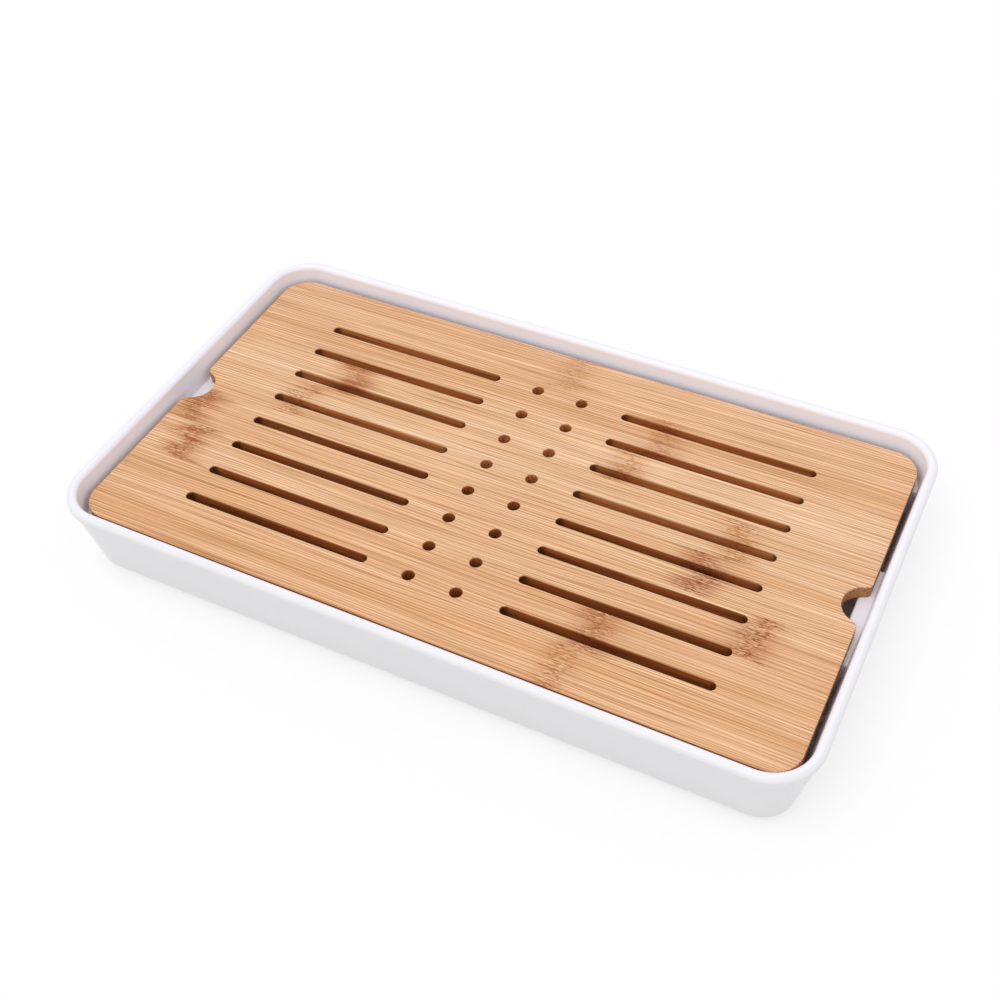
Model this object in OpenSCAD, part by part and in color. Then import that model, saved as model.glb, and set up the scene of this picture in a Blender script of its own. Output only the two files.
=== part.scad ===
// Gongfu tea tray: a slotted bamboo board that lifts out of a white moulded drip tray.
// Millimetres, +X along the length, +Y to the back, +Z up, origin on the table under the middle.

/* [Tray] */
// Length of the tray over its lip
tray_len = 306.5; // [270:0.5:400]
// Width of the tray over its lip
tray_wid = 177.4; // [160:0.2:260]
// Height of the tray, from its underside to the top of its lip
tray_h = 36; // [28:1:50]
// Radius of the tray's corners, over the lip
corner_r = 20; // [18:1:36]
// Thickness of the rolled lip
lip_t = 4.2; // [3.6:0.1:6]
// Height of the bead that the lip makes on the outside
bead_h = 3.4; // [2.6:0.1:6]
// How far the bead stands out from the wall under it
bead_out = 0.9; // [0.4:0.1:1.4]
// How far the wall leans in from the bead down to the foot
wall_lean = 6.5; // [1:0.5:8]
// Thickness of the wall
wall_t = 2.9; // [2:0.1:4]
// Thickness of the floor
floor_t = 3; // [2:0.1:4.5]
// Radius of the rounded edge round the underside
foot_r = 4; // [2:0.5:6]
// Radius of the fillet between the wall and the floor, inside
fillet_r = 3; // [1:0.5:6]

/* [Ledges] */
// Length of the ledge in the middle of each short side
ledge_len = 48; // [30:1:90]
// How far the ledges in the short sides reach in under the board
ledge_bearing = 4; // [2:0.5:10]

/* [Board] */
// Thickness of the bamboo board
board_t = 6; // [4:0.5:9]
// How far the board's top lies below the top of the lip
board_drop = 6.7; // [3:0.1:9]
// Gap between the board and the narrowest part of the tray that it passes, all round
board_gap = 1.5; // [0.8:0.1:4]
// How much tighter the board's corners are than the tray's corners round them
corner_tight = 1.5; // [0:0.1:2]
// Radius of the finger notch in each end of the board
notch_r = 9; // [7:0.5:14]
// Depth of the finger notch
notch_depth = 8.2; // [6:0.2:12]
// Radius of the rounded corners at the notch's mouth
notch_lip_r = 2.5; // [1:0.5:4]

/* [Drain pattern] */
// Distance from one row of slots to the next
row_pitch = 16; // [14:0.5:18]
// Width of a slot
slot_w = 4; // [3:0.5:6]
// Distance from the board's middle to the near end of each slot
slot_start = 28; // [20:1:50]
// Distance from the far end of each slot to the board's end
slot_margin = 35.5; // [20:0.5:60]
// Diameter of the two round holes in each row
hole_d = 5; // [3:0.5:8]
// Distance between the two round holes in a row
hole_gap = 20; // [12:1:30]

/* [Pads] */
// Diameter of the soft pads under the tray
pad_d = 12; // [8:0.5:14]
// How far the pads stand out below the tray
pad_proud = 1; // [0.5:0.1:3]
// Depth of the recess that holds each pad
pad_recess = 1; // [0.5:0.1:1.5]
// Clearance round each pad in its recess
pad_clear = 0.2; // [0.1:0.05:0.5]

/* [Hidden] */
$fn = 96;
strip_n = 8;
row_n = 8;
pad_places = [[-1, -1], [1, -1], [-1, 1], [1, 1]];

// The corners' centres, from the middle of the tray
cx = tray_len / 2 - corner_r;
cy = tray_wid / 2 - corner_r;

// The outer face of the wall: its distance from the corner's centre, at the foot and under the bead
bead_z = tray_h - bead_h;
wall_top = corner_r - bead_out;
wall_foot = wall_top - wall_lean;
lean = atan(wall_lean / bead_z);

// The inner face of the wall at a height z, from the corner's centre
function inner_face(z) = wall_foot + z * tan(lean) - wall_t / cos(lean);

// The board lies on the ledges, and goes in past the lip or the wall, whichever is narrower.
// The passage is cut back to a whole hundredth of a millimetre, so that the board has plain sizes.
ledge_z = tray_h - board_drop - board_t;
passage = floor(100 * min(corner_r - lip_t, inner_face(ledge_z))) / 100;
board_len = 2 * (cx + passage - board_gap);
board_wid = 2 * (cy + passage - board_gap);
board_r = passage - board_gap - corner_tight;
board_z = pad_proud + ledge_z;
strip_w = board_wid / strip_n;
ledge_in = board_len / 2 - ledge_bearing;

// A small extra length that lets one cutter pass clean through what it cuts
over = 1;
// How far a rounding circle stands out past the leaning face, so that the two cross and don't just touch
bite = 0.02;

// Where a fillet of radius r touches, measured from the corner between the floor and the leaning wall
function set_in(r) = r / tan(45 + lean / 2);

// A filled section that stands on z and leans out by the wall's lean, with its lower edge rounded by r.
// It runs from the corner's centre out to the line through (foot, z), up to the height top.
// A wedge with a circle cut out of it takes the sharp edge away.
module leaning_section(foot, z, top, r) {
    c = foot - set_in(r) + bite / cos(lean);
    past = r + over;
    difference() {
        polygon([[0, z], [foot, z], [foot + (top - z) * tan(lean), top], [0, top]]);
        difference() {
            polygon([[c, z + r], [c + past * cos(lean), z + r - past * sin(lean)], [foot + over, z - over], [c, z - over]]);
            translate([c, z + r]) circle(r);
        }
    }
}

// The outside of the tray as a filled section: the wall, then the bead and the round lip above it
module outer_section() {
    leaning_section(wall_foot, 0, bead_z, foot_r);
    translate([corner_r - lip_t, bead_z]) square([lip_t, bead_h - lip_t / 2]);
    translate([corner_r - lip_t / 2, tray_h - lip_t / 2]) circle(lip_t / 2);
}

// The hollow of the tray as a section: parallel to the wall, up to the lip, then straight out
module hollow_section() {
    intersection() {
        leaning_section(inner_face(floor_t), floor_t, tray_h + over, fillet_r);
        square([corner_r - lip_t, tray_h + over]);
    }
}

module wall_section() {
    difference() {
        outer_section();
        hollow_section();
    }
}

// The part of the section that a ledge fills, from the distance from_s outwards
module ledge_section(from_s) {
    intersection() {
        outer_section();
        translate([from_s, 0]) square([corner_r, ledge_z]);
    }
}

// A section drawn along one side of the tray, centred on that side: the +X side, or the +Y side
module along_x_side(length) {
    translate([cx, 0, 0]) rotate([90, 0, 0]) linear_extrude(length, center = true) children();
}
module along_y_side(length) {
    translate([0, cy, 0]) rotate([90, 0, 90]) linear_extrude(length, center = true) children();
}

// A section turned round the four corners
module round_corners() {
    for (turn = [0, 180]) {
        rotate([0, 0, turn]) translate([cx, cy, 0]) rotate_extrude(angle = 90) children();
        rotate([0, 0, turn]) translate([-cx, cy, 0]) rotate([0, 0, 90]) rotate_extrude(angle = 90) children();
    }
}

module pad_seats() {
    for (p = pad_places)
        translate([p[0] * cx, p[1] * cy, -over]) cylinder(h = pad_recess + over, d = pad_d + 2 * pad_clear);
}

module tray() {
    color("#EEEDF0") translate([0, 0, pad_proud]) difference() {
        union() {
            translate([-cx, -cy, 0]) cube([2 * cx, 2 * cy, floor_t]);
            round_corners() wall_section();
            round_corners() ledge_section(0);
            for (turn = [0, 180]) rotate([0, 0, turn]) {
                along_x_side(2 * cy) wall_section();
                along_y_side(2 * cx) wall_section();
                along_x_side(ledge_len) ledge_section(ledge_in - cx);
            }
        }
        pad_seats();
    }
}

// The board's outline: two crossed bars and four round corners
module board_outline() {
    square([board_len - 2 * board_r, board_wid], center = true);
    square([board_len, board_wid - 2 * board_r], center = true);
    for (x = [-1, 1], y = [-1, 1])
        translate([x * (board_len / 2 - board_r), y * (board_wid / 2 - board_r)]) circle(board_r);
}

// The finger notch in the +X end: part of a circle whose mouth is rounded off by two small circles
module finger_notch() {
    centre = board_len / 2 + notch_r - notch_depth;
    small_x = board_len / 2 - notch_lip_r;
    small_y = sqrt(pow(notch_r + notch_lip_r, 2) - pow(centre - small_x, 2));
    translate([centre, 0]) circle(notch_r);
    for (side = [-1, 1]) difference() {
        polygon([[centre, 0], [small_x, side * small_y], [board_len / 2 + over, side * small_y]]);
        translate([small_x, side * small_y]) circle(notch_lip_r);
    }
}

// One slot with round ends, on the +X side
module drain_slot() {
    near = slot_start + slot_w / 2;
    far = board_len / 2 - slot_margin - slot_w / 2;
    translate([near, -slot_w / 2]) square([far - near, slot_w]);
    translate([near, 0]) circle(d = slot_w);
    translate([far, 0]) circle(d = slot_w);
}

module drain_pattern() {
    for (row = [0:row_n - 1], side = [0, 1])
        translate([0, (row - (row_n - 1) / 2) * row_pitch]) mirror([side, 0]) {
            drain_slot();
            translate([hole_gap / 2, 0]) circle(d = hole_d);
        }
}

// The strips are counted from the back of the board to the front
strip_tone = ["#E0AE7E", "#DFAD80", "#E8C09A", "#E8BE98", "#E2B388", "#E1B186", "#DFAC7D", "#DCA877"];

module bamboo_strip(n) {
    color(strip_tone[n - 1]) translate([0, 0, board_z]) linear_extrude(board_t) difference() {
        intersection() {
            board_outline();
            translate([-board_len / 2, board_wid / 2 - n * strip_w]) square([board_len, strip_w]);
        }
        drain_pattern();
        finger_notch();
        mirror([1, 0]) finger_notch();
    }
}

module foot_pad(n) {
    color("#D9D9D6") translate([pad_places[n - 1][0] * cx, pad_places[n - 1][1] * cy, 0])
        cylinder(h = pad_proud + pad_recess, d = pad_d);
}

tray();
for (n = [1:strip_n]) bamboo_strip(n);
for (n = [1:len(pad_places)]) foot_pad(n);
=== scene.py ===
# %% [markdown]
# A tea tray in two parts: a white moulded drip tray, and a slotted bamboo board that lies in it.
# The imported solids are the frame: they hold every size and place. The pieces made here stand in
# the same space, with softer edges and real finishes. Lengths are in metres, as in the frame, and
# MM turns a size in millimetres into metres.

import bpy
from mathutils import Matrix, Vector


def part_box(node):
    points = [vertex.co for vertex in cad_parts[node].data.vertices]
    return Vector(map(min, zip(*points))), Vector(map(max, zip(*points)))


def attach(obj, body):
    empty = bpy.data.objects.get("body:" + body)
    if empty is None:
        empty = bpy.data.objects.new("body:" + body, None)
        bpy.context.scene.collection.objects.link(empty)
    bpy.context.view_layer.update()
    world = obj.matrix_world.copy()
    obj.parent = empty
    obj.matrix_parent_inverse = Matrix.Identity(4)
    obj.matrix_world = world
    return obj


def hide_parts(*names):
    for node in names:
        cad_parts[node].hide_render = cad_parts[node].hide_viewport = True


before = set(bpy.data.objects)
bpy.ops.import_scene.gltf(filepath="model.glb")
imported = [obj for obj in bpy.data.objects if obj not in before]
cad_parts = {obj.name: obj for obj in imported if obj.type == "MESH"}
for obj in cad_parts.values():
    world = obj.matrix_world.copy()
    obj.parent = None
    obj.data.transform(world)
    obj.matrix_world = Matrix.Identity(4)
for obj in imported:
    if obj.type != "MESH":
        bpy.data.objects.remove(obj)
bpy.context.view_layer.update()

import math

import bpy
from mathutils import Matrix, Vector

MM = 0.001


def in_mm(lengths):
    """Rounded millimetres, for printing."""
    return [round(length / MM, 2) for length in lengths]


print("nodes in the frame:", len(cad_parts))

# %% [markdown]
# The photograph was taken from the front right and well above, with a slightly tilted camera.
# A camera could be placed by eye, but then a wrong size and a wrong angle look alike. So its angles
# come from the slots, whose rows and ends are evenly spaced on one flat plane.
# The camera is built from three directions: to the right, up, and back towards the viewer.

# %% Camera at the photograph's view
AZIMUTH = 28.865  # degrees
ELEVATION = 46.304
ROLL = -3.138
LENS = 48.86  # millimetres, as Blender wants a lens and a sensor
SENSOR_W = 36
DISTANCE = 0.5337  # metres from the middle of the board
SIDE_STEP = 0.00006
DOWN_STEP = 0.00616

board_low, board_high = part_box("bamboo_strip_1")
board_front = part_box("bamboo_strip_8")[0].y
board_top_centre = Vector((0, (board_high.y + board_front) / 2, board_high.z))


def camera_axes(azimuth, elevation, roll):
    """Right, up and back directions of a camera that looks at the middle of the object."""
    a, e, r = (math.radians(v) for v in (azimuth, elevation, roll))
    back = Vector((math.sin(a) * math.cos(e), -math.cos(a) * math.cos(e), math.sin(e)))
    level_right = Vector((math.cos(a), math.sin(a), 0))
    level_up = back.cross(level_right)
    right = math.cos(r) * level_right + math.sin(r) * level_up
    return right, back.cross(right), back


right, up, back = camera_axes(AZIMUTH, ELEVATION, ROLL)
bpy.ops.object.camera_add()
camera = bpy.context.object
camera.name = "photo_camera"
camera.data.lens = LENS
camera.data.sensor_width = SENSOR_W
camera.matrix_world = Matrix.Translation(
    board_top_centre + back * DISTANCE + right * SIDE_STEP - up * DOWN_STEP
) @ Matrix((right, up, back)).transposed().to_4x4()
bpy.context.scene.camera = camera
print("camera at", [round(v, 3) for v in camera.location])

# %% [markdown]
# The drip tray is one moulding. Its section is the same all round: floor, foot, leaning wall, and
# a rolled lip. The frame gives the box of each node, and the other sizes are those that the solids
# were built with. Two measures follow from them: how far out the wall's inner face is at a height,
# and how far in an edge of some radius starts.

# %% Sizes of the drip tray
tray_low, tray_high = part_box("tray")
CORNER_R = 20 * MM
LIP_T = 4.2 * MM
BEAD_H = 3.4 * MM
BEAD_OUT = 0.9 * MM
WALL_LEAN = 6.5 * MM
WALL_T = 2.9 * MM
FLOOR_T = 3 * MM
FOOT_R = 4 * MM
FILLET_R = 3 * MM

half_x = tray_high.x - CORNER_R
half_y = tray_high.y - CORNER_R
under_z = tray_low.z
lip_z = tray_high.z
bead_z = lip_z - BEAD_H
ledge_z = board_low.z
floor_z = under_z + FLOOR_T
lean = math.atan2(WALL_LEAN, bead_z - under_z)
outer_foot = CORNER_R - BEAD_OUT - WALL_LEAN


def inner_face(z):
    """Distance of the wall's inner face from the corner's centre, at height z."""
    return outer_foot + (z - under_z) * math.tan(lean) - WALL_T / math.cos(lean)


def set_in(radius):
    """How far a rounded edge starts from the corner between the floor and the leaning wall."""
    return radius / math.tan(math.pi / 4 + lean / 2)


print("tray in mm:", in_mm(tray_high - tray_low))
print("the wall leans by", round(math.degrees(lean), 2), "degrees")

# %% [markdown]
# Small helpers for edit mode. An operator works on whatever is selected, so everything is
# deselected before a piece is started, and vertices are then selected by their place. By hand this
# is a box selection. A test on the place selects the same ones, and does so each time.

# %% Helpers for selecting
MERGE = 0.004 * MM


def deselect_all():
    if bpy.context.mode != "OBJECT":
        bpy.ops.object.mode_set(mode="OBJECT")
    bpy.ops.object.select_all(action="DESELECT")


def make_active(piece):
    deselect_all()
    bpy.context.view_layer.objects.active = piece
    piece.select_set(True)


def edit(piece):
    """Go into edit mode on one piece, with nothing selected."""
    make_active(piece)
    bpy.ops.object.mode_set(mode="EDIT")
    bpy.ops.mesh.select_mode(type="VERT")
    bpy.ops.mesh.select_all(action="DESELECT")


def select_where(piece, test):
    """Select the vertices whose place passes the test, in edit mode."""
    bpy.ops.object.mode_set(mode="OBJECT")
    for part in (piece.data.polygons, piece.data.edges, piece.data.vertices):
        part.foreach_set("select", [False] * len(part))
    for vertex in piece.data.vertices:
        vertex.select = test(vertex.co)
    bpy.ops.object.mode_set(mode="EDIT")
    bpy.ops.mesh.select_mode(type="VERT")


def face_outwards():
    """Select the whole mesh being edited, and turn its faces outwards."""
    bpy.ops.mesh.select_all(action="SELECT")
    bpy.ops.mesh.normals_make_consistent(inside=False)


print("points closer than", round(MERGE / MM, 4), "mm count as one")

# %% [markdown]
# A pen draws an outline as a hand would: it starts as one vertex, goes straight by extruding that
# vertex, and goes round by spinning it. A curve object could do this too. Extrude and spin put each
# point exactly where it is wanted, and leave the last one selected, ready for the next stroke.

# %% The pen
pen = Vector()


def pen_start(point, name=None):
    """Put the pen down at a point: in a new piece, or as a new outline in the piece being edited."""
    global pen
    if name:
        deselect_all()
    bpy.ops.mesh.primitive_plane_add(size=MM)
    if name:
        bpy.context.object.name = name
        bpy.context.object.data.name = name
        bpy.ops.object.mode_set(mode="EDIT")
        bpy.ops.mesh.select_mode(type="VERT")
        bpy.ops.mesh.select_all(action="SELECT")
    bpy.ops.mesh.merge(type="CENTER")
    pen = Vector(point)
    bpy.ops.transform.translate(value=pen)
    return bpy.context.object


def pen_line(point):
    global pen
    bpy.ops.mesh.extrude_region_move(TRANSFORM_OT_translate={"value": Vector(point) - pen})
    pen = Vector(point)


def pen_arc(centre, degrees, steps, axis=(0, 0, 1)):
    """Turn about the axis through the centre, anticlockwise as seen from the axis's tip."""
    global pen
    bpy.ops.mesh.spin(steps=steps, angle=-math.radians(degrees), center=centre, axis=axis)
    turn = Matrix.Rotation(math.radians(degrees), 3, axis)
    pen = Vector(centre) + turn @ (pen - Vector(centre))


print("the pen is ready at", list(pen))

# %% [markdown]
# The section of the tray is drawn once, from the middle of the underside out over the foot, up the
# wall, over the lip and back along the floor. A moulding has no sharp edge: the foot and the inner
# fillet are arcs, the lip is a half circle, and the small step under the bead is softened by three
# points, where a bevel would have to be steered round the corners.

# %% The tray's section
ARC_STEPS = 8
BEAD_SOFT = 0.5 * MM
LEVEL_AXIS = (0, -1, 0)
# How far each point of the softened step is out from the wall, and up as a share of BEAD_SOFT
BEAD_STEP = [(0.1 * BEAD_SOFT, -0.2), (0.5 * BEAD_OUT, 0.35), (0.88 * BEAD_OUT, 0.8)]

wall_turn = 90 - math.degrees(lean)
foot_centre = outer_foot - set_in(FOOT_R)
fillet_centre = inner_face(floor_z) - set_in(FILLET_R)
lip_centre_z = lip_z - LIP_T / 2
lip_in = CORNER_R - LIP_T
lip_meets_wall = under_z + (lip_in - outer_foot + WALL_T / math.cos(lean)) / math.tan(lean)
tangent_z = floor_z + FILLET_R * (1 - math.sin(lean))


def on_section(s, z):
    """A point of the section, at the distance s from the first corner's centre."""
    return (half_x + s, half_y, z)


tray = pen_start(on_section(0, under_z), "drip_tray")
pen_line(on_section(foot_centre, under_z))
pen_arc(on_section(foot_centre, under_z + FOOT_R), wall_turn, ARC_STEPS, LEVEL_AXIS)
pen_line(on_section(outer_foot + (bead_z - BEAD_SOFT - under_z) * math.tan(lean), bead_z - BEAD_SOFT))
for out, rise in BEAD_STEP:
    pen_line(on_section(CORNER_R - BEAD_OUT + out, bead_z + rise * BEAD_SOFT))
pen_line(on_section(CORNER_R, lip_centre_z))
pen_arc(on_section(CORNER_R - LIP_T / 2, lip_centre_z), 180, 2 * ARC_STEPS, LEVEL_AXIS)
pen_line(on_section(lip_in, lip_meets_wall))
pen_line(on_section(inner_face(tangent_z), tangent_z))
pen_arc(on_section(fillet_centre, floor_z + FILLET_R), -wall_turn, ARC_STEPS, LEVEL_AXIS)
pen_line(on_section(0, floor_z))
print("the section ends", round((pen - Vector(on_section(0, floor_z))).length / MM, 4), "mm off")

# %% [markdown]
# The section then goes round the tray: spun about a corner, drawn along a side, and so on until it
# meets its start. A box with bevelled edges couldn't hold a leaning wall and a rolled lip of one
# thickness. The sweep leaves two rectangles open, above and below the floor, and they are filled.

# %% Sweep the section round the tray
CORNER_STEPS = 20
sides = [(-2 * half_x, 0, 0), (0, -2 * half_y, 0), (2 * half_x, 0, 0), (0, 2 * half_y, 0)]
centres = [(half_x, half_y, 0), (-half_x, half_y, 0), (-half_x, -half_y, 0), (half_x, -half_y, 0)]

bpy.ops.mesh.select_all(action="SELECT")
for centre, along in zip(centres, sides):
    bpy.ops.mesh.spin(steps=CORNER_STEPS, angle=-math.pi / 2, center=centre, axis=(0, 0, 1))
    bpy.ops.mesh.extrude_region_move(TRANSFORM_OT_translate={"value": along})
bpy.ops.mesh.select_all(action="SELECT")
bpy.ops.mesh.remove_doubles(threshold=MERGE)
bpy.ops.mesh.fill_holes(sides=4)
face_outwards()
bpy.ops.object.mode_set(mode="OBJECT")
print("drip tray:", len(tray.data.vertices), "vertices,", len(tray.data.polygons), "faces")

# %% [markdown]
# The board rests on six ledges that are moulded with the tray: one in the middle of each short
# side, and one in each corner. A side ledge is a cube at its size, whose outer side leans with the
# wall and ends inside it, and whose free edges are bevelled. The other side's ledge is its mirror
# image.

# %% Ledges in the short sides
LEDGE_LEN = 48 * MM
LEDGE_BEARING = 4 * MM
LEDGE_EDGE = 1 * MM
EDGE_STEPS = 4
IN_WALL = 1.2 * MM
SUNK = 1 * MM
ledge_in = board_high.x - LEDGE_BEARING
ledge_bottom = floor_z - SUNK
ledge_h = ledge_z - ledge_bottom
ledge_mid_z = (ledge_z + ledge_bottom) / 2


def side_ledge(sign):
    """A block that stands on the floor and ends inside the leaning wall."""
    out_low = half_x + inner_face(ledge_bottom) + IN_WALL
    deselect_all()
    bpy.ops.mesh.primitive_cube_add(size=1)
    ledge = bpy.context.object
    edit(ledge)
    bpy.ops.mesh.select_all(action="SELECT")
    bpy.ops.transform.resize(value=(out_low - ledge_in, LEDGE_LEN, ledge_h))
    bpy.ops.transform.translate(value=((out_low + ledge_in) / 2, 0, ledge_mid_z))
    select_where(ledge, lambda p: p.x > ledge_in + SUNK and p.z > ledge_z - SUNK)
    bpy.ops.transform.translate(value=(ledge_h * math.tan(lean), 0, 0))
    select_where(ledge, lambda p: p.x < ledge_in + SUNK or p.z > ledge_z - SUNK)
    bpy.ops.mesh.bevel(offset=LEDGE_EDGE, segments=EDGE_STEPS)
    if sign < 0:
        bpy.ops.mesh.select_all(action="SELECT")
        bpy.ops.transform.mirror(constraint_axis=(True, False, False), center_override=(0, 0, 0))
        face_outwards()
    bpy.ops.object.mode_set(mode="OBJECT")
    return ledge


ledges = [side_ledge(1), side_ledge(-1)]
print("side ledges are", round(ledge_h / MM, 2), "mm high, of which", SUNK / MM, "mm is in the floor")

# %% [markdown]
# A corner ledge fills the rounded corner. It is a quarter of a cone as wide as the corner, because
# the wall leans out. The cone is cut by two upright planes through its axis, which also close it,
# and the edges that stay free of the wall are bevelled.

# %% Ledges in the corners
LEDGE_SIDES = 96
CORNERS = [(1, 1), (-1, 1), (-1, -1), (1, -1)]


def corner_ledge(sign_x, sign_y):
    """A quarter of a round block that fills the tray's rounded corner."""
    deselect_all()
    bpy.ops.mesh.primitive_cone_add(
        vertices=LEDGE_SIDES, depth=ledge_h, location=(sign_x * half_x, sign_y * half_y, ledge_mid_z),
        radius1=inner_face(ledge_bottom) + IN_WALL, radius2=inner_face(ledge_z) + IN_WALL)
    ledge = bpy.context.object
    bpy.ops.object.transform_apply(location=True)
    edit(ledge)
    for normal in ((sign_x, 0, 0), (0, sign_y, 0)):
        bpy.ops.mesh.select_all(action="SELECT")
        bpy.ops.mesh.bisect(
            plane_co=(sign_x * half_x, sign_y * half_y, 0), plane_no=normal, clear_inner=True, use_fill=True)
    reach = inner_face(ledge_z)

    def exposed(p):
        dx = sign_x * p.x - half_x
        dy = sign_y * p.y - half_y
        return min(dx, dy) < MERGE and (p.z > ledge_z - MERGE or max(dx, dy) < MERGE) and dx + dy < 2 * reach

    select_where(ledge, exposed)
    bpy.ops.mesh.bevel(offset=LEDGE_EDGE, segments=EDGE_STEPS)
    face_outwards()
    bpy.ops.object.mode_set(mode="OBJECT")
    return ledge


ledges += [corner_ledge(*corner) for corner in CORNERS]
print("ledges made:", len(ledges))

# %% [markdown]
# In the mould the ledges and the wall are one, so a boolean joins them, and no wall stays inside.
# The same tool cuts the shallow seats of the soft pads, with short cylinders that reach as far
# below the tray as into it.

# %% Join the ledges and cut the pads' seats
PAD_SEAT_R = 6.2 * MM
PAD_SEAT_DEPTH = 1 * MM
ROUND_SIDES = 64


def pad_seat(sign_x, sign_y):
    deselect_all()
    bpy.ops.mesh.primitive_cylinder_add(
        vertices=ROUND_SIDES, radius=PAD_SEAT_R, depth=2 * PAD_SEAT_DEPTH,
        location=(sign_x * half_x, sign_y * half_y, under_z))
    bpy.ops.object.transform_apply(location=True)
    return bpy.context.object


def apply_modifier(piece, kind, **settings):
    make_active(piece)
    bpy.ops.object.modifier_add(type=kind)
    modifier = piece.modifiers[-1]
    for key, value in settings.items():
        setattr(modifier, key, value)
    bpy.ops.object.modifier_apply(modifier=modifier.name)


def boolean_with(piece, tools, operation):
    """Join the tools into one mesh, use it on the piece, and throw it away."""
    deselect_all()
    for tool in tools:
        tool.select_set(True)
    bpy.context.view_layer.objects.active = tools[0]
    bpy.ops.object.join()
    apply_modifier(piece, "BOOLEAN", operation=operation, object=tools[0], solver="EXACT")
    bpy.data.objects.remove(tools[0])


boolean_with(tray, ledges, "UNION")
boolean_with(tray, [pad_seat(*corner) for corner in CORNERS], "DIFFERENCE")
print("drip tray with ledges and seats:", len(tray.data.polygons), "faces")

# %% [markdown]
# Materials are built from nodes. One function adds a node with its settings and its links, and one
# turns a colour as a painter writes it, in sRGB hex, into the linear numbers that a shader wants.
# Three shorter ones mix colours, do sums and turn one range of values into another.

# %% Helpers for materials
def colour(hex_code):
    """Linear RGBA from an sRGB hex colour."""
    channels = [int(hex_code[i:i + 2], 16) / 255 for i in (1, 3, 5)]
    return [c / 12.92 if c <= 0.04045 else ((c + 0.055) / 1.055) ** 2.4 for c in channels] + [1]


def add(tree, kind, inputs=None, **settings):
    """Add a node. inputs maps a socket's name or number to a value or to another node's output."""
    made = tree.nodes.new("ShaderNode" + kind)
    for key, value in settings.items():
        setattr(made, key, value)
    for key, value in (inputs or {}).items():
        if isinstance(value, bpy.types.NodeSocket):
            tree.links.new(value, made.inputs[key])
        else:
            made.inputs[key].default_value = value
    return made


def new_material(name):
    """A material with no nodes yet, and its node tree."""
    material = bpy.data.materials.new(name)
    material.use_nodes = True
    material.node_tree.nodes.clear()
    return material, material.node_tree


def surface(tree, shader):
    add(tree, "OutputMaterial", {"Surface": shader.outputs[0]})


def mix_colour(tree, factor, a, b, blend="MIX"):
    return add(tree, "Mix", {0: factor, 6: a, 7: b}, data_type="RGBA", blend_type=blend).outputs[2]


def maths(tree, operation, *values):
    return add(tree, "Math", dict(enumerate(values)), operation=operation).outputs[0]


def ramp(tree, value, low, high, to_low=0.0, to_high=1.0):
    """A smooth change from to_low, where the value is low, to to_high, where it is high."""
    return add(tree, "MapRange", {
        "Value": value, "From Min": low, "From Max": high, "To Min": to_low, "To Max": to_high},
        interpolation_type="SMOOTHSTEP").outputs[0]


print("a middle grey of #808080 is", round(colour("#808080")[0], 3), "in linear light")

# %% [markdown]
# The drip tray is melamine, pressed in a polished mould. That gives the eye a smooth, slightly
# glossy white with very soft waves in its reflections, and specks about a millimetre wide that are
# a little duller. The inside of the wall and the floor are painted a cooler white than the outside:
# painted shade, for the dimmer, cooler light inside the tray. Two materials would need a border
# between their faces, so one material finds out how far through the wall a point lies, with the same
# measures as the section.

# %% Melamine
OUTSIDE_WHITES = ("#ECECEC", "#F1F0F0")
# A cooler white for the inside of the tray: painted shade
INSIDE_SHADE_WHITE = "#F7F6FD"
WAVES_PER_M = 60.0
SPECKS_PER_M = 900.0
MELAMINE_ROUGHNESS = (0.24, 0.36)
# Where the colour changes, as shares of the wall's thickness inwards and of the floor's upwards
IN_WALL_FADE = (0.8, 0.3)
IN_FLOOR_FADE = (0.3, 0.7)


def inside_shade_share(tree, place):
    """0 on the tray's outside and underside, 1 on its inside, where the cooler white of painted shade goes.
    """
    x, y, z = add(tree, "SeparateXYZ", {0: place}).outputs
    beyond = [maths(tree, "MAXIMUM", 0.0, maths(tree, "SUBTRACT", maths(tree, "ABSOLUTE", axis), half))
              for axis, half in ((x, half_x), (y, half_y))]
    squares = [maths(tree, "MULTIPLY", part, part) for part in beyond]
    out = maths(tree, "SQRT", maths(tree, "ADD", *squares))
    leaned = maths(tree, "MULTIPLY", maths(tree, "SUBTRACT", z, under_z), math.tan(lean))
    deep, shallow = (outer_foot - share * WALL_T for share in IN_WALL_FADE)
    within = ramp(tree, maths(tree, "SUBTRACT", out, leaned), deep, shallow, 1.0, 0.0)
    above = ramp(tree, z, *(under_z + share * FLOOR_T for share in IN_FLOOR_FADE))
    return maths(tree, "MULTIPLY", within, above)


def white_melamine():
    material, tree = new_material("white_melamine")
    place = add(tree, "TexCoord").outputs["Object"]
    waves = add(tree, "TexNoise", {"Vector": place, "Scale": WAVES_PER_M, "Detail": 2.0}).outputs["Fac"]
    specks = add(tree, "TexNoise", {"Vector": place, "Scale": SPECKS_PER_M, "Detail": 3.0}).outputs["Fac"]
    tone = mix_colour(tree, waves, *(colour(white) for white in OUTSIDE_WHITES))
    # Painted shade: the inside of the tray is drawn a cooler white
    tone = mix_colour(tree, inside_shade_share(tree, place), tone, colour(INSIDE_SHADE_WHITE))
    smoothest, dullest = MELAMINE_ROUGHNESS
    rough = add(tree, "MapRange", {"Value": specks, "To Min": smoothest, "To Max": dullest})
    bump = add(tree, "Bump", {"Height": waves, "Strength": 0.08, "Distance": 0.4 * MM})
    surface(tree, add(tree, "BsdfPrincipled", {
        "Base Color": tone, "Roughness": rough.outputs[0], "IOR": 1.5, "Normal": bump.outputs[0]}))
    return material


melamine = white_melamine()
print("made", melamine.name, "with", len(melamine.node_tree.nodes), "nodes")

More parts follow.
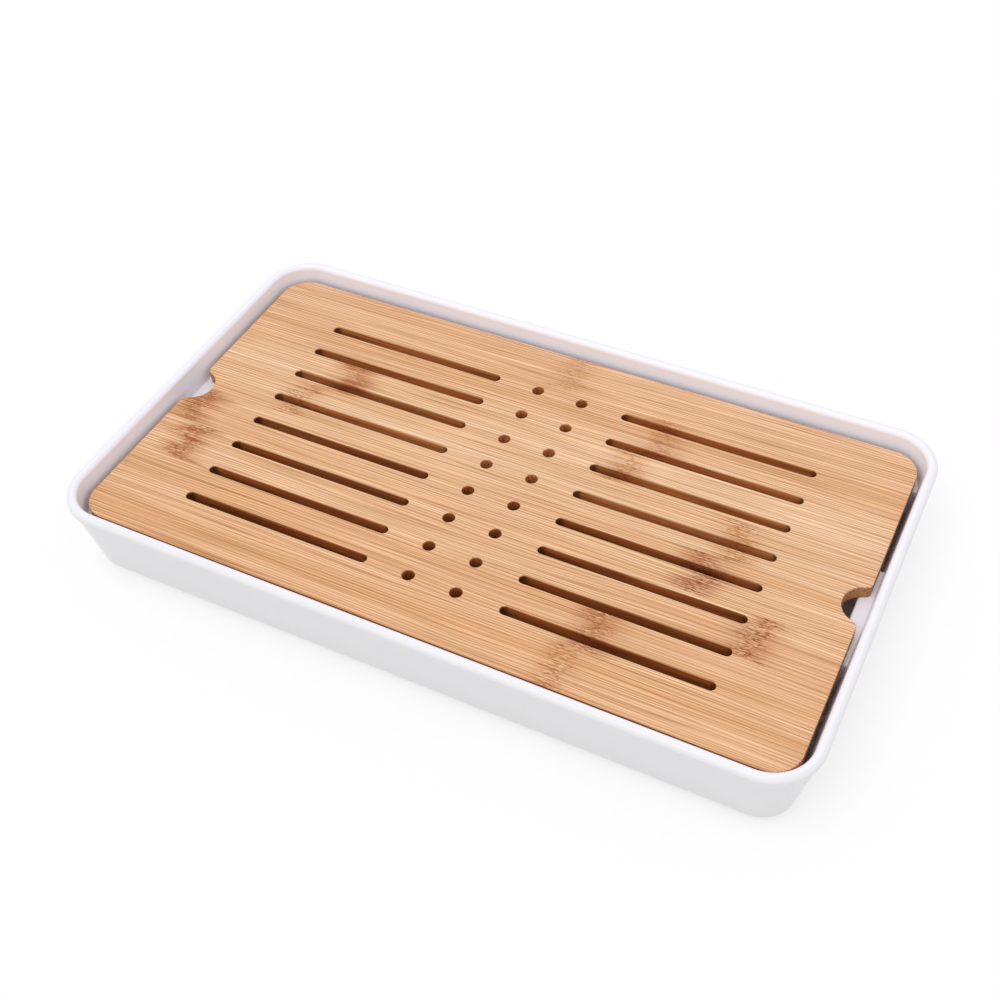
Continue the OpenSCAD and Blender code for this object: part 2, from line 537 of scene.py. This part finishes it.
# %% [markdown]
# Each piece is finished alike. Its place goes into its mesh, its curved faces are smoothed and its
# flat ones kept flat, and it gets its material. Then it is hung under the empty of the body it
# rides on, and the solid that it replaces is hidden. The tray is the first.

# %% Finish the drip tray
SMOOTH_DEGREES = 35
NORMAL_WEIGHT = 80


def finish_piece(piece, body, material, replaced):
    """Smooth the curved faces, keep the flat ones flat, and hand the piece to the frame."""
    make_active(piece)
    bpy.ops.object.transform_apply(location=True, rotation=True, scale=True)
    bpy.ops.object.shade_smooth_by_angle(angle=math.radians(SMOOTH_DEGREES))
    apply_modifier(piece, "WEIGHTED_NORMAL", keep_sharp=True, weight=NORMAL_WEIGHT)
    piece.data.materials.clear()
    piece.data.materials.append(material)
    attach(piece, body)
    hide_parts(*replaced)
    piece.data.calc_loop_triangles()
    print(piece.name, "has", len(piece.data.loop_triangles), "triangles")


finish_piece(tray, "tray", melamine, ["tray"])

# %% [markdown]
# Four pads keep the tray from sliding. Silicone rubber is milky: light goes a little way in, and
# its skin is matt with fine dust on it, here specks about 1.5 mm wide.

# %% Milky silicone
DUST_PER_M = 700.0
GLOW_DEPTH = 2 * MM


def milky_silicone():
    material, tree = new_material("milky_silicone")
    place = add(tree, "TexCoord").outputs["Object"]
    dust = add(tree, "TexNoise", {"Vector": place, "Scale": DUST_PER_M, "Detail": 4.0}).outputs["Fac"]
    tone = mix_colour(tree, dust, colour("#CFCFCC"), colour("#DEDEDB"))
    bump = add(tree, "Bump", {"Height": dust, "Strength": 0.2, "Distance": 0.05 * MM})
    surface(tree, add(tree, "BsdfPrincipled", {
        "Base Color": tone, "Roughness": 0.55, "IOR": 1.41, "Subsurface Weight": 0.15,
        "Subsurface Radius": (GLOW_DEPTH, GLOW_DEPTH, GLOW_DEPTH), "Normal": bump.outputs[0]}))
    return material


silicone = milky_silicone()
print("made", silicone.name)

# %% [markdown]
# Each pad is a disc whose lower rim is rounded and whose underside is slightly dished, so that it
# grips like a sucker. The rim is a bevel, and the dish is two insets, the second one pushed in.

# %% Silicone pads
PAD_RIM = 0.4 * MM
PAD_RING = 0.8 * MM
PAD_SLOPE = 1.2 * MM
PAD_DISH = 0.3 * MM

for number in range(1, 5):
    low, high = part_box(f"foot_pad_{number}")
    deselect_all()
    bpy.ops.mesh.primitive_cylinder_add(
        vertices=ROUND_SIDES, radius=(high.x - low.x) / 2, depth=high.z - low.z, location=(low + high) / 2)
    pad = bpy.context.object
    pad.name = pad.data.name = f"soft_pad_{number}"
    bpy.ops.object.transform_apply(location=True)
    edit(pad)
    select_where(pad, lambda p: p.z < low.z + MERGE)
    bpy.ops.mesh.bevel(offset=PAD_RIM, segments=EDGE_STEPS)
    select_where(pad, lambda p: p.z < low.z + MERGE)
    bpy.ops.mesh.select_mode(type="FACE")
    bpy.ops.mesh.inset(thickness=PAD_RING)
    bpy.ops.mesh.inset(thickness=PAD_SLOPE, depth=-PAD_DISH)
    bpy.ops.object.mode_set(mode="OBJECT")
    finish_piece(pad, "tray", silicone, [f"foot_pad_{number}"])

# %% [markdown]
# The board is glued up from eight bamboo strips, then routed. So here too the whole board is made
# first, and cut into its strips at the end. It lies loose in the tray, and in the photograph it is
# pushed back, which leaves a thin dark line along the front lip. Its front edge is drawn a little
# short to show that line. The notch's mouth is rounded by a small arc on each side, which meets
# the notch's own arc, and their angle follows from the two radii.

# %% Sizes of the board
ROWS = 8
ROW_PITCH = 16 * MM
SLOT_W = 4 * MM
SLOT_START = 28 * MM
SLOT_MARGIN = 35.5 * MM
HOLE_D = 5 * MM
HOLE_GAP = 20 * MM
BOARD_R = 11.28 * MM
NOTCH_R = 9 * MM
NOTCH_DEPTH = 8.2 * MM
NOTCH_LIP_R = 2.5 * MM
EDGE = 0.35 * MM
FRONT_GAP = 1.1 * MM

end_x = board_high.x
end_y = board_high.y
front_y = FRONT_GAP - end_y
base_z = board_low.z + EDGE
top_z = board_high.z - EDGE
slot_far = end_x - SLOT_MARGIN
notch_x = end_x + NOTCH_R - NOTCH_DEPTH
mouth_x = end_x - NOTCH_LIP_R
mouth_y = math.sqrt((NOTCH_R + NOTCH_LIP_R) ** 2 - (notch_x - mouth_x) ** 2)
mouth_turn = math.degrees(math.atan2(mouth_y, notch_x - mouth_x))
print("the notch's mouth is", round(2 * mouth_y / MM, 2), "mm wide")
print("slots are", round((slot_far - SLOT_START) / MM, 2), "mm long")

# %% [markdown]
# The board's plan is drawn with the pen: half of its outline, the same half from the other side,
# and then a long outline for each slot and a round one for each hole. Cutting 32 openings with
# booleans would leave long thin faces. The fill operator instead makes one flat face round all of
# the inner outlines at once.

# %% The board's outlines
BOARD_CORNER_STEPS = 16
MOUTH_STEPS = 8
NOTCH_STEPS = 32
SLOT_STEPS = 12
HOLE_STEPS = 14


def half_outline(sign, first_y, last_y):
    """Half of the board's outer outline, from the middle of one long side to the other's."""
    corner_x = sign * (end_x - BOARD_R)
    pen_line((corner_x, first_y, base_z))
    pen_arc((corner_x, first_y + sign * BOARD_R, base_z), 90, BOARD_CORNER_STEPS)
    pen_line((sign * end_x, -sign * mouth_y, base_z))
    pen_arc((sign * mouth_x, -sign * mouth_y, base_z), mouth_turn, MOUTH_STEPS)
    pen_arc((sign * notch_x, 0, base_z), -2 * mouth_turn, NOTCH_STEPS)
    pen_arc((sign * mouth_x, sign * mouth_y, base_z), mouth_turn, MOUTH_STEPS)
    pen_line((sign * end_x, last_y - sign * BOARD_R, base_z))
    pen_arc((corner_x, last_y - sign * BOARD_R, base_z), 90, BOARD_CORNER_STEPS)
    pen_line((0, last_y, base_z))


def long_hole(near, far, y, width, steps):
    """An inner outline with round ends. With near equal to far it is a round hole."""
    radius = width / 2
    pen_start((near, y - radius, base_z))
    if far > near:
        pen_line((far, y - radius, base_z))
    pen_arc((far, y, base_z), 180, steps)
    if far > near:
        pen_line((near, y + radius, base_z))
    pen_arc((near, y, base_z), 180, steps)


board = pen_start((0, front_y, base_z), "bamboo_board")
half_outline(1, front_y, end_y)
half_outline(-1, end_y, front_y)
near_x = SLOT_START + SLOT_W / 2
far_x = slot_far - SLOT_W / 2
for row in range(ROWS):
    y = (row - (ROWS - 1) / 2) * ROW_PITCH
    long_hole(near_x, far_x, y, SLOT_W, SLOT_STEPS)
    long_hole(-far_x, -near_x, y, SLOT_W, SLOT_STEPS)
    long_hole(HOLE_GAP / 2, HOLE_GAP / 2, y, HOLE_D, HOLE_STEPS)
    long_hole(-HOLE_GAP / 2, -HOLE_GAP / 2, y, HOLE_D, HOLE_STEPS)
bpy.ops.mesh.select_all(action="SELECT")
bpy.ops.mesh.remove_doubles(threshold=MERGE)
bpy.ops.mesh.fill()
bpy.ops.object.mode_set(mode="OBJECT")
print("the board's plan has", len(board.data.vertices), "vertices and", len(board.data.polygons), "faces")

# %% [markdown]
# The plan is pulled up to the board's thickness. The real board is sanded after routing, which
# rounds off every rim a little. A bevel stumbles over the many small faces of a filled plan, so two
# narrow insets of the flat side do it: a steep one, then a shallow one.

# %% Thickness and softened rims
STEEP, SHALLOW = 0.7, 0.3


def soften_rims(piece, z):
    """Round off every rim of the flat side at height z with two narrow insets."""
    select_where(piece, lambda p: abs(p.z - z) < MERGE)
    bpy.ops.mesh.select_mode(type="FACE")
    bpy.ops.mesh.inset(thickness=SHALLOW * EDGE, depth=STEEP * EDGE, use_even_offset=True)
    bpy.ops.mesh.inset(thickness=STEEP * EDGE, depth=SHALLOW * EDGE, use_even_offset=True)


edit(board)
bpy.ops.mesh.select_all(action="SELECT")
bpy.ops.mesh.extrude_region_move(TRANSFORM_OT_translate={"value": (0, 0, top_z - base_z)})
face_outwards()
soften_rims(board, top_z)
soften_rims(board, base_z)
bpy.ops.object.mode_set(mode="OBJECT")
heights = [v.co.z for v in board.data.vertices]
print("the board is", round((max(heights) - min(heights)) / MM, 3), "mm thick")

# %% [markdown]
# Bamboo is a grass: its strips are bundles of straight fibres, with no rings. So every pattern on
# it is noise that is drawn out along the strip, and only its length and width differ. They are in
# millimetres. A real bundle is a quarter to half a millimetre wide, and a single one hardly shows
# at this distance. So besides bundles of those widths there are lines 1.25 mm apart. They are
# coarser than any real ones, because finer lines wouldn't show.

# %% Grain patterns
# Length and width in mm, detail, and a shift that makes each pattern differ from the others
GRAINS = {
    "wander": (60, 5, 2.0, 0.0),
    "swerve": (5, 3, 2.0, 0.0),
    "drift": (120, 30, 1.0, 0.0),
    "looseness": (80, 2.5, 1.0, 41.0),
    "fine fibres": (60, 0.28, 1.0, 3.0),
    "broad fibres": (90, 0.55, 1.0, 5.0),
    "hairs": (90, 0.42, 1.0, 31.0),
    "bands": (260, 7, 2.0, 1.0),
    "dashes": (1.8, 0.36, 1.0, 17.0),
    "blotches": (12, 4, 1.0, 21.0),
    "smears": (25, 1.6, 1.0, 25.0),
}
SHIFT_SHARES = Vector((1.0, 1.7, 0.6))


def grain(tree, place, kind):
    """Noise from 0 to 1 that is drawn out along the strip, as GRAINS says."""
    length, width, detail, shift = GRAINS[kind]
    scaled = add(tree, "Mapping", {
        "Vector": place, "Location": shift * SHIFT_SHARES, "Scale": (1 / length, 1 / width, 1 / width)})
    return add(tree, "TexNoise", {"Vector": scaled.outputs[0], "Scale": 1.0, "Detail": detail}).outputs["Fac"]


def sway(tree, place, kind, reach):
    """The same noise moved to lie on both sides of zero, and made as strong as its reach."""
    return maths(tree, "MULTIPLY", maths(tree, "SUBTRACT", grain(tree, place, kind), 0.5), reach)


print("grain patterns:", ", ".join(GRAINS))

# %% [markdown]
# Every 15 to 25 cm a strip has a node, where the culm had its joint. Its fibres are cut short and
# crossed there, and stained brown. A mark has a narrow core of cut fibres and a wide stain round
# it, both faded by their distance from a middle line that wanders. A painted image could hold them
# too, but a list of places and colours is easier to change.

# %% Marks of the nodes
WANDER = 22.0
PLAIN_STAIN = "#8A5233"
# Distances in mm from the middle line where each starts to fade and where it ends
CORE_FADE = (1.5, 8.0)
STAIN_FADE = (1.0, 15.0)
TINT_FADE = (20.0, 40.0)


def node_marks(tree, place, x, nodes):
    """How much of a point is cut fibre, how much is stained, and the stain's colour."""
    wander = sway(tree, place, "wander", WANDER)
    core, halo, stain = 0.0, 0.0, colour(PLAIN_STAIN)
    for at, stained, dashed, tint in nodes:
        away = maths(tree, "ABSOLUTE", maths(tree, "ADD", maths(tree, "SUBTRACT", x, at), wander))
        core = maths(tree, "MAXIMUM", core, ramp(tree, away, *CORE_FADE, dashed, 0.0))
        halo = maths(tree, "MAXIMUM", halo, ramp(tree, away, *STAIN_FADE, stained, 0.0))
        stain = mix_colour(tree, ramp(tree, away, *TINT_FADE, 1.0, 0.0), stain, colour(tint))
    return core, halo, stain


# Each is a ramp: from where to where in the noise, and what it gives at both
BLOTCH = (0.3, 0.65, 0.45, 1.0)
SMEAR = (0.3, 0.65, 0.6, 1.0)
GLINT = (0.42, 0.34, 0.0, 0.4)
CUT_FIBRE = (0.48, 0.62, 0.0, 0.95)
GLINT_TONE = "#F0CF9C"
CUT_TONE = "#7A3A14"
CUT_SHARE = 0.4


def node_tone(tree, tone, place, bent, marks):
    """The strip's tone with its stains, and with dark and light dashes of cut fibre."""
    core, halo, stain = marks
    dashes = grain(tree, bent, "dashes")
    blotch = ramp(tree, grain(tree, place, "blotches"), *BLOTCH)
    smear = ramp(tree, grain(tree, bent, "smears"), *SMEAR)
    stained = maths(tree, "MULTIPLY", halo, maths(tree, "MULTIPLY", blotch, smear))
    glint = maths(tree, "MULTIPLY", core, ramp(tree, dashes, *GLINT))
    cut = maths(tree, "MULTIPLY", core, ramp(tree, dashes, *CUT_FIBRE))
    tone = mix_colour(tree, stained, tone, stain)
    tone = mix_colour(tree, glint, tone, colour(GLINT_TONE))
    return mix_colour(tree, cut, tone, mix_colour(tree, CUT_SHARE, stain, colour(CUT_TONE)))


print("a stain reaches", STAIN_FADE[1], "mm from the middle line of its node")

# %% [markdown]
# Between the nodes the fibres run straight, drift a little over the length of the strip, and curl
# at a node. Their shade is made of fine lines whose spacing wanders, and of fibres of two widths.
# It then multiplies the tone, blue more than red, because a darker fibre is also a browner one. A
# mix towards a fixed dark colour would grey the stains.

# %% Fibres
DRIFT = 3.0
LOOSENESS = 16.0
LINE_PITCH = 1.25
LINE_DEPTH = 0.24
FIBRES = {"fine fibres": 1.9, "broad fibres": 0.35}
DARKEST, LIGHTEST = -0.7, 0.5
FIBRE_TINT = (0.7, 0.88, 1.15)
HAIR = (0.42, 0.32, 0.0, 0.18)
HAIR_TONE = "#A8876A"


def fibre_run(tree, place, axes, core):
    """A point's distance across the fibres, and its place among them."""
    push = maths(tree, "ADD", sway(tree, place, "swerve", core), sway(tree, place, "drift", DRIFT))
    across = maths(tree, "ADD", axes[1], push)
    return across, add(tree, "CombineXYZ", {0: axes[0], 1: across, 2: axes[2]}).outputs[0]


def fibre_shade(tree, across, bent):
    """Above zero a fibre is lighter than its strip, and below zero darker."""
    loose = maths(tree, "MULTIPLY", grain(tree, bent, "looseness"), LOOSENESS)
    turns = maths(tree, "ADD", maths(tree, "MULTIPLY", across, 2 * math.pi / LINE_PITCH), loose)
    shade = maths(tree, "MULTIPLY", maths(tree, "SINE", turns), LINE_DEPTH)
    for kind, weight in FIBRES.items():
        shade = maths(tree, "ADD", shade, sway(tree, bent, kind, weight))
    return maths(tree, "MINIMUM", maths(tree, "MAXIMUM", shade, DARKEST), LIGHTEST)


def fibre_tone(tree, tone, bent, shade):
    """The tone with the shade of its fibre, and with a few thin dark hairs."""
    gain = add(tree, "VectorMath", {0: shade, 1: FIBRE_TINT, 2: (1, 1, 1)}, operation="MULTIPLY_ADD")
    tone = mix_colour(tree, 1.0, tone, gain.outputs[0], "MULTIPLY")
    hairs = ramp(tree, grain(tree, bent, "hairs"), *HAIR)
    return mix_colour(tree, hairs, tone, colour(HAIR_TONE), "MULTIPLY")


strip_w = (board_high.y - board_low.y) / MM
print("lines every", LINE_PITCH, "mm, about", round(strip_w / LINE_PITCH), "on a strip")

# %% [markdown]
# The sides of the board differ from its sanded top: the slots and holes are browner, and the
# notches greyer. Three darker marks are painted shade: the slots' sides in the front half, where
# less light falls into them, the round ends of the slots, and the long edges of the board, along
# the dark gap by the lip. The depth below the top and the distance from the slots' ends say where
# each belongs, so one material does for the whole strip.

# %% Sides of the board and of its openings
BACK_STRIPS = 4
# The front slots' tone is deeper: painted shade, where less light falls into them
BACK_SLOTS, FRONT_SLOTS_SHADED, NOTCHES = "#DAAE7E", "#BE8A5A", "#CAB598"
# Painted shade: dark long edges of the board, and dark round ends of the slots
EDGE_SHADE_TONE, SLOT_END_SHADE_TONE = "#3E2416", "#3A170A"
EDGE_SHADE_SHARE = 0.65
# In mm: depth below the top, room beyond the slots' last centres and before the board's ends,
# where the painted shade of the long edges starts and ends, and a ramp over the distance from a
# slot's end for the painted shade in its round end
SIDE_DEPTH = (0.2, 0.9)
BEYOND_SLOTS, BEFORE_ENDS = 10.0, 12.0
EDGE_SHADE_FADE = (-0.3, -0.1)
SLOT_END_SHADE_RAMP = (0.6, 3.2, 0.75, 0.0)


def side_tone(tree, tone, axes, number, shift):
    """The tone with its browner sides and painted shade. shift is how far y was moved for this strip."""
    x, y, z = axes
    sides = ramp(tree, maths(tree, "SUBTRACT", board_high.z / MM, z), *SIDE_DEPTH)
    along = maths(tree, "ABSOLUTE", x)
    at_notch = ramp(tree, along, far_x / MM + BEYOND_SLOTS, end_x / MM - BEFORE_ENDS)
    # Deeper brown in the front half's slots is painted shade
    slots = BACK_SLOTS if number <= BACK_STRIPS else FRONT_SLOTS_SHADED
    routed = mix_colour(tree, at_notch, colour(slots), colour(NOTCHES))
    tone = mix_colour(tree, sides, tone, mix_colour(tree, 1.0, tone, routed, "MULTIPLY"))

    # Painted shade: the long edges of the board darkened, for the dark gap along the lip
    across = maths(tree, "ABSOLUTE", maths(tree, "ADD", y, -shift))
    edge_shade_at = (-front_y / MM + distance for distance in EDGE_SHADE_FADE)
    edge_shade = maths(tree, "MULTIPLY", sides, ramp(tree, across, *edge_shade_at, 0.0, EDGE_SHADE_SHARE))
    tone = mix_colour(tree, edge_shade, tone, colour(EDGE_SHADE_TONE))

    # Painted shade: the round ends of the slots darkened, where little light reaches
    from_ends = [maths(tree, "ABSOLUTE", maths(tree, "SUBTRACT", along, end / MM))
                 for end in (SLOT_START, slot_far)]
    slot_end_shade = ramp(tree, maths(tree, "MINIMUM", *from_ends), *SLOT_END_SHADE_RAMP)
    return mix_colour(tree, maths(tree, "MULTIPLY", slot_end_shade, sides), tone, colour(SLOT_END_SHADE_TONE))


print("sides are brown from", SIDE_DEPTH[1], "mm below the top")

# %% [markdown]
# The whole finish is sanded bamboo under a thin lacquer: a satin sheen, weaker than bare plastic's,
# and a very low relief that follows the fibres. One function makes it for each strip from two
# tones, which change in long bands, and from its list of nodes. Each strip's pattern is shifted, so
# that no two look alike.

# %% Lacquered bamboo
STRIP_SHIFT = 37.3
BAND = (0.32, 0.68)


def lacquered_bamboo(number, light, deep, nodes):
    """The finish of one strip. nodes holds (x in mm, strength of the stain, of the dashes, its colour)."""
    material, tree = new_material(f"lacquered_bamboo_{number}")
    shift = STRIP_SHIFT * number
    place = add(tree, "Mapping", {
        "Vector": add(tree, "TexCoord").outputs["Object"],
        "Scale": (1 / MM, 1 / MM, 1 / MM), "Location": (0, shift, 0)}).outputs[0]
    axes = add(tree, "SeparateXYZ", {0: place}).outputs
    marks = node_marks(tree, place, axes[0], nodes)
    across, bent = fibre_run(tree, place, axes, marks[0])
    shade = fibre_shade(tree, across, bent)

    tone = mix_colour(tree, ramp(tree, grain(tree, bent, "bands"), *BAND), colour(light), colour(deep))
    tone = node_tone(tree, tone, place, bent, marks)
    tone = fibre_tone(tree, tone, bent, shade)
    tone = side_tone(tree, tone, axes, number, shift)
    bump = add(tree, "Bump", {"Height": shade, "Strength": 0.15, "Distance": 0.1 * MM})
    surface(tree, add(tree, "BsdfPrincipled", {
        "Base Color": tone, "Roughness": 0.56, "IOR": 1.45, "Specular IOR Level": 0.3,
        "Normal": bump.outputs[0]}))
    return material


print("strip 1 is shifted by", STRIP_SHIFT, "mm, and each next one by as much again")

# %% [markdown]
# Now the board is cut into its eight strips, counted from the back. Each is a copy of the whole
# board with its own mesh, cut by one or two upright planes. Bisect also fills the cut, so each
# strip is a closed solid that meets its neighbours face to face, as glued strips do. The tones and
# the nodes are read off the photograph, strip by strip.

# %% Cut the board into its strips
AMBER, PALE, HONEY = "bamboo_amber", "bamboo_pale", "bamboo_honey"
STRIPS = {
    1: (AMBER, "#E7B990", "#DDAB7E", [(-0.5, 0.35, 0.5, "#C07C3A")]),
    2: (AMBER, "#E6B78E", "#DBA778", [(49, 0.55, 0.6, "#B87034")]),
    3: (PALE, "#EAC098", "#E1B184", [(-86, 0.95, 0.5, "#AC6232"), (39, 0.6, 0.6, "#B87034")]),
    4: (PALE, "#E9BF97", "#E0AF82", [(-100, 0.35, 0.7, "#B46A32"), (95.5, 0.5, 0.7, "#B87034")]),
    5: (HONEY, "#E6B88E", "#DDAA7C", [(-137, 0.9, 0.8, "#AC642E"), (89, 0.75, 0.8, "#A0502C")]),
    6: (HONEY, "#E7BA90", "#DEAB7E", [(-128, 0.85, 1.0, "#AE6630"), (115.5, 0.6, 1.0, "#AC622C")]),
    7: (AMBER, "#E6B78C", "#DCA778", [(63, 0.7, 0.8, "#AE662C")]),
    8: (AMBER, "#E6B68A", "#DAA474", [(57, 0.35, 0.7, "#B87034")]),
}


def cut_strip(number, low, high):
    """A copy of the board, cut at the sides of one strip."""
    strip = board.copy()
    strip.data = board.data.copy()
    strip.name = strip.data.name = f"glued_strip_{number}"
    bpy.context.scene.collection.objects.link(strip)
    edit(strip)
    for y, normal in ((high.y, (0, 1, 0)), (low.y, (0, -1, 0))):
        if abs(y) < end_y - EDGE:
            bpy.ops.mesh.select_all(action="SELECT")
            bpy.ops.mesh.bisect(plane_co=(0, y, 0), plane_no=normal, use_fill=True, clear_outer=True)
    face_outwards()
    bpy.ops.object.mode_set(mode="OBJECT")
    return strip


for number, (slot, light, deep, nodes) in STRIPS.items():
    strip = cut_strip(number, *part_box(f"bamboo_strip_{number}"))
    finish = lacquered_bamboo(number, light, deep, nodes)
    finish_piece(strip, "board", finish, [f"bamboo_strip_{number}"])
bpy.data.objects.remove(board)

# %% [markdown]
# The photograph is a studio shot on white. A large white floor carries the object's soft shadow.
# More light on it would make it white, but would clip the white tray too. So the floor adds a glow
# of its own that only the camera and reflections see, and is a little greyer to the light that
# bounces off it, so that it doesn't flood the object from below.

# %% Floor
FLOOR_SIZE = 12
GLOW_SHARE = 0.55
BOUNCE_GREY = "#DCDCDC"
WHITE = (1, 1, 1, 1)


def seen_directly(tree):
    """1 for what the camera sees, also in a reflection or through glass, and 0 for bounced light."""
    rays = add(tree, "LightPath").outputs
    reflected = maths(tree, "MAXIMUM", rays["Is Glossy Ray"], rays["Is Transmission Ray"])
    return maths(tree, "MAXIMUM", rays["Is Camera Ray"], reflected)


def studio_white():
    material, tree = new_material("studio_white")
    bounce = add(tree, "BsdfDiffuse", {"Color": colour(BOUNCE_GREY)})
    lit = add(tree, "BsdfDiffuse", {"Color": WHITE})
    glow = add(tree, "Emission", {"Color": WHITE, "Strength": 1.0})
    shown = add(tree, "MixShader", {0: GLOW_SHARE, 1: lit.outputs[0], 2: glow.outputs[0]})
    surface(tree, add(tree, "MixShader", {0: seen_directly(tree), 1: bounce.outputs[0], 2: shown.outputs[0]}))
    return material


deselect_all()
bpy.ops.mesh.primitive_plane_add(size=FLOOR_SIZE)
floor = bpy.context.object
floor.name = "studio_floor"
floor.data.materials.append(studio_white())
print("the floor is", FLOOR_SIZE, "m wide")

# %% [markdown]
# The light is soft and comes from all over, with one broad lamp above the tray, a little to the
# front and the left. The levels are set so that a flat top surface renders about as its colour is
# written. The world too is white to the camera, and gives the object a little less than that.

# %% Light
WORLD_LEVEL = 0.84
SKY_TONES = ("#FDFDFD", "#FDFBFF")
SKY_FADE = (0.0, 0.8)
KEY_STRENGTH = 0.7
KEY_SPREAD = 45
KEY_FROM = Vector((-0.1, -0.4, 0.9))


def studio_world():
    world = bpy.data.worlds.new("studio_world")
    world.use_nodes = True
    tree = world.node_tree
    tree.nodes.clear()
    height = add(tree, "SeparateXYZ", {0: add(tree, "TexCoord").outputs["Generated"]}).outputs[2]
    sky = mix_colour(tree, ramp(tree, height, *SKY_FADE), *(colour(tone) for tone in SKY_TONES))
    fill = add(tree, "Background", {"Color": sky, "Strength": WORLD_LEVEL})
    shown = add(tree, "Background", {"Color": WHITE, "Strength": 1.0})
    mixed = add(tree, "MixShader", {0: seen_directly(tree), 1: fill.outputs[0], 2: shown.outputs[0]})
    add(tree, "OutputWorld", {"Surface": mixed.outputs[0]})
    return world


bpy.context.scene.world = studio_world()
deselect_all()
bpy.ops.object.light_add(type="SUN")
key = bpy.context.object
key.name = "broad_key_light"
key.data.energy = KEY_STRENGTH
key.data.angle = math.radians(KEY_SPREAD)
key.rotation_euler = KEY_FROM.to_track_quat("Z", "Y").to_euler()
bpy.context.scene.view_settings.view_transform = "Standard"
print("lights:", bpy.context.scene.world.name, "and", key.name)
